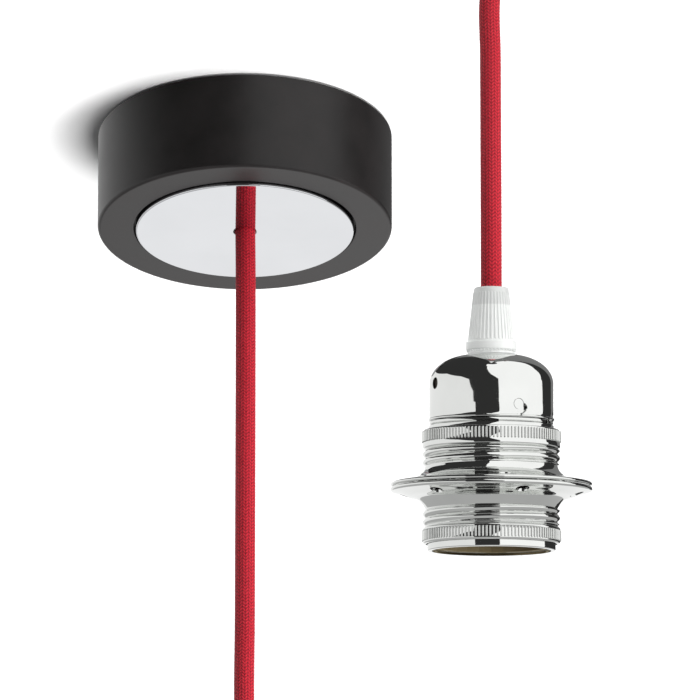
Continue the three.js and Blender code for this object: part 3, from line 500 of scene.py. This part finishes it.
def bars_tree():
    """Geometry Nodes tree: the body it is given, with upright bars set round Z."""
    tree = bpy.data.node_groups.new("bars_round_axis", "GeometryNodeTree")
    tree.is_modifier = True
    interface = tree.interface
    interface.new_socket("Geometry", in_out="INPUT", socket_type="NodeSocketGeometry")
    interface.new_socket("Bars", in_out="INPUT", socket_type="NodeSocketInt")
    for name in ("Circle Radius", "Middle Height", "Bar Radius", "Bar Length", "Lean"):
        interface.new_socket(name, in_out="INPUT", socket_type="NodeSocketFloat")
    interface.new_socket("Material", in_out="INPUT", socket_type="NodeSocketMaterial")
    interface.new_socket("Geometry", in_out="OUTPUT", socket_type="NodeSocketGeometry")
    nodes, links = tree.nodes, tree.links
    source, target = nodes.new("NodeGroupInput"), nodes.new("NodeGroupOutput")
    circle = nodes.new("GeometryNodeMeshCircle")
    links.new(source.outputs["Bars"], circle.inputs["Vertices"])
    links.new(source.outputs["Circle Radius"], circle.inputs["Radius"])
    rise = nodes.new("ShaderNodeCombineXYZ")
    links.new(source.outputs["Middle Height"], rise.inputs["Z"])
    lift = nodes.new("GeometryNodeSetPosition")
    links.new(circle.outputs[0], lift.inputs["Geometry"])
    links.new(rise.outputs[0], lift.inputs["Offset"])
    bar = nodes.new("GeometryNodeMeshCylinder")
    bar.inputs["Vertices"].default_value = BAR_SIDES
    links.new(source.outputs["Bar Radius"], bar.inputs["Radius"])
    links.new(source.outputs["Bar Length"], bar.inputs["Depth"])
    half = nodes.new("ShaderNodeMath")
    half.operation = "MULTIPLY"
    half.inputs[1].default_value = 0.5
    links.new(source.outputs["Bar Length"], half.inputs[0])
    capsule = nodes.new("GeometryNodeJoinGeometry")
    links.new(bar.outputs["Mesh"], capsule.inputs[0])
    for direction in (1.0, -1.0):
        end = nodes.new("ShaderNodeMath")
        end.operation = "MULTIPLY"
        end.inputs[1].default_value = direction
        links.new(half.outputs[0], end.inputs[0])
        offset = nodes.new("ShaderNodeCombineXYZ")
        links.new(end.outputs[0], offset.inputs["Z"])
        ball = nodes.new("GeometryNodeMeshUVSphere")
        ball.inputs["Segments"].default_value = BAR_SIDES
        ball.inputs["Rings"].default_value = BAR_END_RINGS
        links.new(source.outputs["Bar Radius"], ball.inputs["Radius"])
        shift = nodes.new("GeometryNodeTransform")
        links.new(ball.outputs["Mesh"], shift.inputs["Geometry"])
        links.new(offset.outputs[0], shift.inputs["Translation"])
        links.new(shift.outputs[0], capsule.inputs[0])
    tilt = nodes.new("ShaderNodeCombineXYZ")
    links.new(source.outputs["Lean"], tilt.inputs["Y"])
    lean = nodes.new("GeometryNodeTransform")
    links.new(capsule.outputs[0], lean.inputs["Geometry"])
    links.new(tilt.outputs[0], lean.inputs["Rotation"])
    place = nodes.new("GeometryNodeInputPosition")
    flat = nodes.new("ShaderNodeVectorMath")
    flat.operation = "MULTIPLY"
    flat.inputs[1].default_value = (1.0, 1.0, 0.0)
    links.new(place.outputs[0], flat.inputs[0])
    turn = nodes.new("FunctionNodeAlignRotationToVector")
    turn.axis = "X"
    turn.pivot_axis = "Z"
    links.new(flat.outputs[0], turn.inputs["Vector"])
    copies = nodes.new("GeometryNodeInstanceOnPoints")
    links.new(lift.outputs[0], copies.inputs["Points"])
    links.new(lean.outputs[0], copies.inputs["Instance"])
    links.new(turn.outputs[0], copies.inputs["Rotation"])
    joined = nodes.new("GeometryNodeJoinGeometry")
    links.new(source.outputs["Geometry"], joined.inputs[0])
    links.new(copies.outputs[0], joined.inputs[0])
    real = nodes.new("GeometryNodeRealizeInstances")
    links.new(joined.outputs[0], real.inputs[0])
    finish = nodes.new("GeometryNodeSetMaterial")
    links.new(real.outputs[0], finish.inputs["Geometry"])
    links.new(source.outputs["Material"], finish.inputs["Material"])
    links.new(finish.outputs[0], target.inputs[0])
    return tree


bars = bars_tree()


def keep_modified(piece):
    """Keeps what a piece's modifiers make as its mesh."""
    depsgraph = bpy.context.evaluated_depsgraph_get()
    data = bpy.data.meshes.new_from_object(piece.evaluated_get(depsgraph))
    piece.modifiers.clear()
    piece.data = data


def add_bars(piece, material, count, circle, middle, bar_radius, bar_length, lean=0.0):
    """Sets bars round an upright piece; lengths in millimetres, lean in radians."""
    modifier = piece.modifiers.new("bars", "NODES")
    modifier.node_group = bars
    values = {"Bars": count, "Circle Radius": circle * MM, "Middle Height": middle * MM,
              "Bar Radius": bar_radius * MM, "Bar Length": bar_length * MM, "Lean": lean,
              "Material": material}
    for item in bars.interface.items_tree:
        if item.in_out == "INPUT" and item.name in values:
            modifier[item.identifier] = values[item.name]
    keep_modified(piece)


grip_material, nodes, links, shader = new_material("translucent_nylon_painted_glow")
cloud = add_speckle(nodes, 1800.0, 0.4)[1]
milk = ramp_node(nodes, links, cloud, [(0.3, (0.52, 0.53, 0.52)), (0.7, (0.58, 0.59, 0.58))])
# The collet inside ends below the nut's top; above it the colour carries painted shade, as the hollow cone
# looks greyer there
COLLET_TOP = 14.5
EDGE_BLUR = 0.2
HOLLOW_SHADE = 0.74
holder_axis = holder_place.to_3x3() @ Vector((0.0, 0.0, 1.0))
collet_end = holder_axis.dot(holder_place.translation) + COLLET_TOP * MM
along = nodes.new("ShaderNodeVectorMath")
along.operation = "DOT_PRODUCT"
along.inputs[1].default_value = holder_axis
coordinates = nodes.new("ShaderNodeTexCoord")
links.new(coordinates.outputs["Object"], along.inputs[0])
hollow_painted_shade = nodes.new("ShaderNodeMapRange")
hollow_painted_shade.inputs["From Min"].default_value = collet_end - EDGE_BLUR * MM
hollow_painted_shade.inputs["From Max"].default_value = collet_end + EDGE_BLUR * MM
hollow_painted_shade.inputs["To Min"].default_value = 1.0
hollow_painted_shade.inputs["To Max"].default_value = HOLLOW_SHADE
links.new(along.outputs["Value"], hollow_painted_shade.inputs["Value"])
milk_with_painted_shade = nodes.new("ShaderNodeVectorMath")
milk_with_painted_shade.operation = "SCALE"
links.new(milk, milk_with_painted_shade.inputs[0])
links.new(hollow_painted_shade.outputs["Result"], milk_with_painted_shade.inputs["Scale"])
links.new(milk_with_painted_shade.outputs["Vector"], shader.inputs["Base Color"])
shader.inputs["Roughness"].default_value = 0.28
shader.inputs["Transmission Weight"].default_value = 0.12
# A faint white glow is painted light: it stands in for light that scatters through the translucent
# plastic.
shader.inputs["Emission Color"].default_value = (0.93, 0.95, 0.94, 1.0)
shader.inputs["Emission Strength"].default_value = 0.24
shader.inputs["IOR"].default_value = 1.46

GRIP_RIBS = 36
GRIP_TEETH = 40
GRIP_FACES = 96
CONE_LOW, CONE_HIGH = (6.75, 3.9), (5.05, 18.8)
cone_slope = math.atan2(CONE_LOW[0] - CONE_HIGH[0], CONE_HIGH[1] - CONE_LOW[1])
grip_nut = revolved("ribbed_grip_nut", in_metres([
    (3.5, 19.8), *arc((4.25, 19.0), 0.8, 90, 0), (6.6, 4.1), (6.7, 3.9),
    *arc((7.0, 3.5), 0.4, 90, 0, 4), *arc((7.0, 1.7), 0.4, 0, -90, 4),
    (5.5, 1.3), (5.5, 8.3), (4.9, 14.7), (3.5, 15.2)]), GRIP_FACES)
grip_nut.data.materials.append(grip_material)
add_bars(grip_nut, grip_material, GRIP_RIBS, circle=5.78, middle=11.3, bar_radius=0.26,
         bar_length=13.6, lean=-cone_slope)
add_bars(grip_nut, grip_material, GRIP_TEETH, circle=7.0, middle=1.4, bar_radius=0.22, bar_length=0.6)
grip_nut.data.transform(holder_place)
shade(grip_nut)
stand_for(grip_nut, "grip_nut")

finish_nodes(grip_material, "grip_body")

# Cap
# A drawn and chromed steel cup. It carries a round hole for the earth screw, a pressed tab and a
# notch at its beaded edge, and screws over the neck of the shell.
chrome, nodes, links, shader = new_material("bright_chrome")
flecks, cloud = add_speckle(nodes, 2400.0, 0.27)
links.new(ramp_node(nodes, links, cloud, [(0.3, (0.70, 0.71, 0.695)), (0.7, (0.74, 0.75, 0.735))]),
          shader.inputs["Base Color"])
shader.inputs["Metallic"].default_value = 1.0
vary_roughness(nodes, links, shader, flecks, 0.12, 0.045)
add_bump(nodes, links, shader, flecks, 0.05, 0.00002)


def cut_with(piece, *cutters):
    """Cuts other meshes out of a piece and removes them."""
    for cutter in cutters:
        modifier = piece.modifiers.new("cut", "BOOLEAN")
        modifier.operation = "DIFFERENCE"
        modifier.object = cutter
        modifier.solver = "EXACT"
    keep_modified(piece)
    for cutter in cutters:
        bpy.data.objects.remove(cutter)


CUTTER_SIDES = 40


def round_cutter(radius, low, high, matrix):
    """Cylinder along Z between two heights, in millimetres, placed by matrix."""
    mesh = bmesh.new()
    bmesh.ops.create_cone(mesh, cap_ends=True, segments=CUTTER_SIDES, radius1=radius * MM,
                          radius2=radius * MM, depth=(high - low) * MM)
    bmesh.ops.translate(mesh, verts=mesh.verts, vec=(0, 0, (low + high) / 2 * MM))
    data = bpy.data.meshes.new("cutter")
    mesh.to_mesh(data)
    mesh.free()
    data.transform(matrix)
    return add_object("cutter", data)


def facing(azimuth, depth):
    """Matrix that turns +Z outwards at a depth below the cap's top, at an azimuth right of the front."""
    outward = Matrix.Rotation(math.radians(azimuth), 4, "Z") @ Matrix.Rotation(math.radians(90), 4, "X")
    return Matrix.Translation((0, 0, -depth * MM)) @ outward


CAP_RADIUS, CAP_INNER, CAP_BOTTOM = 18.05, 17.35, -20.45
CAP_HOLE = 5.2
CAP_FACES = 192
DOME_EDGE, DOME_DROP = 6.0, 8.5  # radius of the flat top, and height of the curve beside it
DOME_WIDTH, DOME_INNER_WIDTH, DOME_INNER_DROP = 12.05, 11.35, 7.8
WALL_FROM, WALL_TO = 17.2, 19.0  # radii between which a cutter goes through the wall
DOME_WALL_FROM = 14.0  # the same on the dome, where the wall stands further in
NOTCH_FROM, NOTCH_TO = 17.0, 19.5  # the same at the beaded edge
EARTH_HOLE_AZIMUTH, EARTH_HOLE_DEPTH, EARTH_HOLE_RADIUS = -65.6, 8.8, 1.7
NOTCH_AZIMUTH, NOTCH_DEPTH, NOTCH_RADIUS = 65.0, 20.1, 1.1
TAB_AZIMUTH, TAB_DEPTH, TAB_RADIUS, TAB_GAP = 25.6, 15.6, 1.5, 0.13
TAB_SLOTS = ((1.5, 4.3, 1.1), (0.95, 1.8, 2.5))  # radius, then degrees beside and depth below the tab


def dome(width, drop, angles):
    """Outline of the cap's rounded shoulder, outside or inside."""
    return [(DOME_EDGE + width * math.sin(math.radians(a)), -DOME_DROP + drop * math.cos(math.radians(a)))
            for a in angles]


cap = revolved("domed_cap", in_metres([
    (CAP_HOLE, 0.0), *dome(DOME_WIDTH, DOME_DROP, range(0, 91, 5)),
    (CAP_RADIUS, -12), (CAP_RADIUS, -15), (CAP_RADIUS, -17.6),
    (CAP_RADIUS - 0.1, -18.0), *arc((CAP_RADIUS - 0.12, -18.95), 0.42, 70, -70, 8),
    (CAP_RADIUS - 0.15, -19.6), (CAP_RADIUS - 0.05, -19.9), (CAP_RADIUS - 0.05, -20.2),
    (CAP_RADIUS - 0.3, CAP_BOTTOM), (CAP_INNER, CAP_BOTTOM), (CAP_INNER, -14),
    *dome(DOME_INNER_WIDTH, DOME_INNER_DROP, range(90, -1, -6)), (CAP_HOLE, -0.7)]), CAP_FACES)
cut_with(cap,
         round_cutter(EARTH_HOLE_RADIUS, DOME_WALL_FROM, WALL_TO,
                      facing(EARTH_HOLE_AZIMUTH, EARTH_HOLE_DEPTH)),
         round_cutter(TAB_RADIUS + TAB_GAP, WALL_FROM, WALL_TO, facing(TAB_AZIMUTH, TAB_DEPTH)),
         *(round_cutter(radius, WALL_FROM, WALL_TO, facing(TAB_AZIMUTH + beside, TAB_DEPTH + below))
           for radius, beside, below in TAB_SLOTS),
         round_cutter(NOTCH_RADIUS, NOTCH_FROM, NOTCH_TO, facing(NOTCH_AZIMUTH, NOTCH_DEPTH)))
cap.data.materials.clear()
cap.data.materials.append(chrome)
cap.data.transform(holder_place)
shade(cap, sharp_from=30.0)
stand_for(cap, "holder_cap")

# Pressed tab of the cap
# A round tongue that is lanced from the cap's wall, pressed in a little and chromed with it. It
# keys the cap to the shell's neck.
TAB_BACK, TAB_FACE = 17.4, 17.95  # distances of its two faces from the cap's axis
tab = round_cutter(TAB_RADIUS, TAB_BACK, TAB_FACE, facing(TAB_AZIMUTH, TAB_DEPTH))
tab.name = "cap_tab"
tab.data.materials.append(chrome)
tab.data.transform(holder_place)
shade(tab)
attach(tab, "root")

# Holder shell
# A drawn and chromed steel tube with a rolled thread for the shade rings and a turned-in rim. Its
# narrower neck goes up into the cap.
THREAD_PITCH = 2.4
THREAD_RUN_OUT = 0.5  # height over which the thread fades at each end


def threaded(name, outline, columns, depth, thread_low, thread_high, turn=0.0):
    """Revolved outline in millimetres with a rolled thread, round at its crests, in marked rows."""
    rings = []
    for radius, height, has_thread in outline:
        ring = []
        for k in range(columns):
            angle = 2 * math.pi * k / columns
            extra = 0.0
            if has_thread and thread_low < height < thread_high:
                fade = min(1.0, (height - thread_low) / THREAD_RUN_OUT,
                           (thread_high - height) / THREAD_RUN_OUT)
                wave = abs(math.cos(math.pi * (height / THREAD_PITCH - k / columns + turn)))
                extra = depth * wave * fade
            ring.append(((radius + extra) * MM * math.cos(angle),
                         (radius + extra) * MM * math.sin(angle), height * MM))
        rings.append(ring)
    return turned_skin(name, rings)


def dense(radius, first, last, step):
    """Threaded rows at one radius between two heights, close enough to carry a thread."""
    count = max(1, round(abs(last - first) / step))
    return [(radius, first + (last - first) * k / count, True) for k in range(count + 1)]


def marked(points):
    """Outline points as rows without a thread."""
    return [(radius, height, False) for radius, height in points]


SHELL_ROOT = 18.4
SHELL_THREAD = 0.5  # height of the thread's crests
SHELL_FACES = 128
SHELL_STEP = 0.24
shell = threaded("threaded_shell", [
    *marked([(16.35, -14.0), (17.05, -14.0), (17.05, -20.6), (17.9, -20.6), (18.15, -20.8)]),
    *marked([(18.15, -21.6)]), *dense(SHELL_ROOT, -22.0, -54.8, SHELL_STEP),
    *marked([(18.65, -54.9), *arc((18.35, -56.7), 0.3, 0, -90, 4), (17.3, -57.0), (17.3, -56.4),
             (17.9, -56.2), (17.9, -20.9), (16.35, -20.9)])],
    SHELL_FACES, SHELL_THREAD, thread_low=-54.6, thread_high=-22.2)
shell.data.transform(holder_place)
shell.data.materials.append(chrome)
shade(shell)
stand_for(shell, "holder_shell")

# Shade rings
# Spun and chromed steel rings with a knurled edge, a rolled thread and a sprung flange with six
# vent holes. They screw on the shell and clamp a lampshade between their flanges.
KNURL_TEETH = 118
KNURL_CIRCLE, KNURL_BAR, KNURL_LENGTH = 19.93, 0.3, 2.7
RING_ROOT, RING_BORE = 19.2, 19.0
RING_FACES = 240
RING_THREAD = 0.75  # height of the thread's crests
RING_STEP = 0.1
VENT_COUNT, VENT_RADIUS, VENT_PLACE = 6, 2.0, 25
VENT_FROM, VENT_TO = -45, -30  # heights between which a cutter goes through one flange
FLARE_STEPS = 6


def vents(azimuth):
    """Cutters for the vent holes of a flange."""
    return [round_cutter(VENT_RADIUS, VENT_FROM, VENT_TO,
                         Matrix.Rotation(math.radians(azimuth + 360 / VENT_COUNT * k), 4, "Z")
                         @ Matrix.Translation((0, -VENT_PLACE * MM, 0))) for k in range(VENT_COUNT)]


def smooth_outline(points):
    """Catmull-Rom curve through (radius, height) points."""
    curve = smooth_route([(radius, 0.0, height) for radius, height in points], FLARE_STEPS)
    return [(p.x, p.z) for p in curve]


def shade_ring(name, node, outline, thread_low, thread_high, turn, knurl_middle, vent_azimuth):
    """One ring: its body with the thread, the vents cut through, and the knurl's ribs."""
    ring = threaded(name, outline, RING_FACES, RING_THREAD, thread_low, thread_high, turn)
    cut_with(ring, *vents(vent_azimuth))
    add_bars(ring, chrome, KNURL_TEETH, KNURL_CIRCLE, knurl_middle, KNURL_BAR, KNURL_LENGTH)
    ring.data.transform(holder_place)
    shade(ring, sharp_from=40.0)
    stand_for(ring, node)


upper_flare = smooth_outline([(19.3, -32.6), (19.6, -33.4), (20.2, -34.3), (21.9, -35.6),
                              (24.2, -36.25), (26.4, -36.65), (28.6, -37.1)])
upper_under = smooth_outline([(28.6, -38.2), (26.4, -37.75), (24.2, -37.3), (21.8, -36.7),
                              (20.0, -35.4), (RING_BORE, -34.0)])
shade_ring("shade_ring_top", "shade_ring_upper", [
    *marked([(RING_BORE, -21.8), (19.2, -21.8)]), *marked(arc((19.2, -22.5), 0.7, 90, 0, 6)),
    *marked([(19.9, -24.0), (19.9, -25.6), (20.0, -25.75), (20.0, -26.6)]),
    *marked(arc((19.3, -26.75), 0.7, 0, -60, 5)),
    *dense(RING_ROOT, -27.5, -32.4, RING_STEP), *marked(upper_flare),
    *marked(arc((28.75, -37.65), 0.55, 80, -80, 8)), *marked(upper_under)],
    thread_low=-32.45, thread_high=-27.45, turn=0.5625, knurl_middle=-23.95, vent_azimuth=9.0)

lower_top = smooth_outline([(RING_BORE, -43.4), (20.6, -41.4), (24.2, -40.3), (26.4, -39.4),
                            (28.6, -38.35)])
lower_under = smooth_outline([(28.6, -39.75), (26.4, -40.35), (24.2, -41.15), (21.4, -42.0),
                              (20.2, -43.2), (19.5, -44.3), (RING_ROOT, -44.85)])
shade_ring("shade_ring_base", "shade_ring_lower", [
    *marked(lower_top), *marked(arc((28.65, -39.05), 0.68, 80, -80, 8)), *marked(lower_under),
    *dense(RING_ROOT, -44.95, -50.0, RING_STEP), *marked(arc((19.3, -50.9), 0.75, 70, 0, 5)),
    *marked([(19.9, -51.2), (19.9, -54.0), (20.0, -54.2)]),
    *marked(arc((19.35, -54.4), 0.65, 0, -90, 5)), *marked([(RING_BORE, -55.05)])],
    thread_low=-50.0, thread_high=-44.9, turn=0.8125, knurl_middle=-52.7, vent_azimuth=20.4)

# Inside of the holder
# A brown moulded liner round the brass E27 sleeve, and a glazed ceramic carrier for the contacts.
# They keep their CAD shape and get a finish.
finish_nodes(plain_plastic("brown_liner", (0.15, 0.12, 0.065), 0.4), "shell_liner")
finish_nodes(plain_plastic("glazed_ceramic", (0.78, 0.76, 0.70), 0.2), "terminal_carrier")
finish_nodes(brass, "screw_shell")

# Ceiling and light
# A plain pale ceiling that is seen from below only, soft light from below and from the right in
# front, and large cards 0.6 m from the holder that only polished metal shows.
CEILING_GAP = 0.0004
CEILING_SIDE, CEILING_FRONT, CEILING_BACK = 12, -12, 40
ceiling_mesh = bpy.data.meshes.new("ceiling")
ceiling_mesh.from_pydata([(x, y, CEILING_GAP) for x, y in (
    (-CEILING_SIDE, CEILING_FRONT), (-CEILING_SIDE, CEILING_BACK), (CEILING_SIDE, CEILING_BACK),
    (CEILING_SIDE, CEILING_FRONT))], [], [(0, 1, 2, 3)])
ceiling = add_object("ceiling", ceiling_mesh)
ceiling_material, nodes, links, shader = new_material("pale_ceiling")
shader.inputs["Base Color"].default_value = (0.9, 0.9, 0.9, 1.0)
shader.inputs["Roughness"].default_value = 1.0
shader.inputs["Specular IOR Level"].default_value = 0.0
clear = nodes.new("ShaderNodeBsdfTransparent")
sides_mix = nodes.new("ShaderNodeMixShader")
geometry_node = nodes.new("ShaderNodeNewGeometry")
links.new(geometry_node.outputs["Backfacing"], sides_mix.inputs[0])
links.new(shader.outputs[0], sides_mix.inputs[1])
links.new(clear.outputs[0], sides_mix.inputs[2])
links.new(sides_mix.outputs[0], nodes["Material Output"].inputs["Surface"])
ceiling_mesh.materials.append(ceiling_material)
ceiling.visible_glossy = False


def card_material(name, level):
    """Even tone that a reflector shows in the chrome."""
    material, *_, surface = new_material(name)
    surface.inputs["Base Color"].default_value = (0.0, 0.0, 0.0, 1.0)
    surface.inputs["Roughness"].default_value = 1.0
    surface.inputs["Specular IOR Level"].default_value = 0.0
    surface.inputs["Emission Color"].default_value = (level, level, level, 1.0)
    surface.inputs["Emission Strength"].default_value = 1.0
    return material


TENT_HEIGHT = -0.015  # centre of the cards' spheres on the holder's axis
CARD_ROWS = 24


def tent_point(radius, azimuth, elevation):
    """Point on a sphere round the cap; azimuth is counted to the right from the front."""
    flat = radius * math.cos(math.radians(elevation))
    return (flat * math.sin(math.radians(azimuth)), -flat * math.cos(math.radians(azimuth)),
            TENT_HEIGHT + radius * math.sin(math.radians(elevation)))


def between(stops, place):
    """Straight-line value between (place, value) stops."""
    for (first, low), (last, high) in zip(stops, stops[1:]):
        if place <= last:
            return low + (high - low) * (place - first) / (last - first)
    return stops[-1][1]


def tent_card(name, radius, level, upright, start, end, first, last, steps):
    """Reflector that only polished surfaces see, between two edges given as (place, value) stops.

    Upright, place is an azimuth and value an elevation, in degrees; else the other way round.
    """
    points, faces = [], []
    for k in range(steps + 1):
        place = first + (last - first) * k / steps
        low, high = between(start, place), between(end, place)
        for j in range(CARD_ROWS + 1):
            value = low + (high - low) * j / CARD_ROWS
            points.append(tent_point(radius, *((place, value) if upright else (value, place))))
    for k in range(steps):
        for j in range(CARD_ROWS):
            corner = k * (CARD_ROWS + 1) + j
            faces.append((corner, corner + CARD_ROWS + 1, corner + CARD_ROWS + 2, corner + 1))
    data = bpy.data.meshes.new(name)
    data.from_pydata(points, [], faces)
    data.transform(holder_place)
    data.materials.append(card_material(name + "_tone", level))
    card = add_object(name, data)
    card.visible_camera = False
    card.visible_diffuse = False
    card.visible_shadow = False
    card.visible_transmission = False


tent_card("dark_reflector", radius=0.62, level=0.036, upright=True,
          start=[(-170, 24), (-158, 20), (-101, 30), (-60, 20), (-39, 7), (-30, 4), (-29, -24),
                 (13, -24), (14, -8), (108, -8), (109, -14), (166, -14)],
          end=[(-170, 90), (166, 90)], first=-170, last=166, steps=336)
tent_card("bright_reflector", radius=0.6, level=1.24, upright=False,
          start=[(-14, 15), (4, 13.5), (10, 12), (14, 9), (20, 5), (28, 0), (41, -5), (55, -10),
                 (72, -17), (84, -40)],
          end=[(-14, 109), (4, 109), (12, 105), (40, 117), (52, 134), (70, 143), (84, 149)],
          first=-14, last=84, steps=90)
tent_card("grey_reflector", radius=0.61, level=0.22, upright=True,
          start=[(144, 0), (190, 12)], end=[(144, 80), (190, 80)], first=144, last=190, steps=90)
tent_card("floor_reflector", radius=0.63, level=0.5, upright=True,
          start=[(-165, -90), (165, -90)],
          end=[(-165, -12), (-60, -12), (-30, -22), (14, -20), (40, -14), (165, -12)],
          first=-165, last=165, steps=160)

world = bpy.data.worlds.new("surroundings")
bpy.context.scene.world = world
world.use_nodes = True
nodes, links = world.node_tree.nodes, world.node_tree.links
ambient = nodes["Background"]
ambient.inputs["Color"].default_value = (1.0, 1.0, 1.0, 1.0)
ambient.inputs["Strength"].default_value = 0.15
seen = nodes.new("ShaderNodeBackground")
seen.inputs["Color"].default_value = (1.0, 1.0, 1.0, 1.0)
path_node = nodes.new("ShaderNodeLightPath")
seen_rays = math_node(nodes, links, "MAXIMUM", path_node.outputs["Is Camera Ray"],
                      math_node(nodes, links, "MAXIMUM", path_node.outputs["Is Glossy Ray"],
                                path_node.outputs["Is Transmission Ray"]))
world_mix = nodes.new("ShaderNodeMixShader")
links.new(seen_rays, world_mix.inputs[0])
links.new(ambient.outputs[0], world_mix.inputs[1])
links.new(seen.outputs[0], world_mix.inputs[2])
links.new(world_mix.outputs[0], nodes["World Output"].inputs["Surface"])


def area_light(name, size, energy, place, target):
    """Square soft light that polished surfaces don't show."""
    light_data = bpy.data.lights.new(name, "AREA")
    light_data.size = size
    light_data.energy = energy
    light = add_object(name, light_data)
    light.location = place
    light.rotation_euler = (Vector(target) - Vector(place)).to_track_quat("-Z", "Y").to_euler()
    light.visible_glossy = False


area_light("key", size=0.75, energy=35.0, place=(0.4, -0.03, -1.6), target=(0.03, -0.05, -0.05))
area_light("fill", size=1.2, energy=66.0, place=(2.3, -1.5, -0.8), target=(0.05, -0.1, -0.12))

bpy.context.scene.view_settings.view_transform = "Standard"
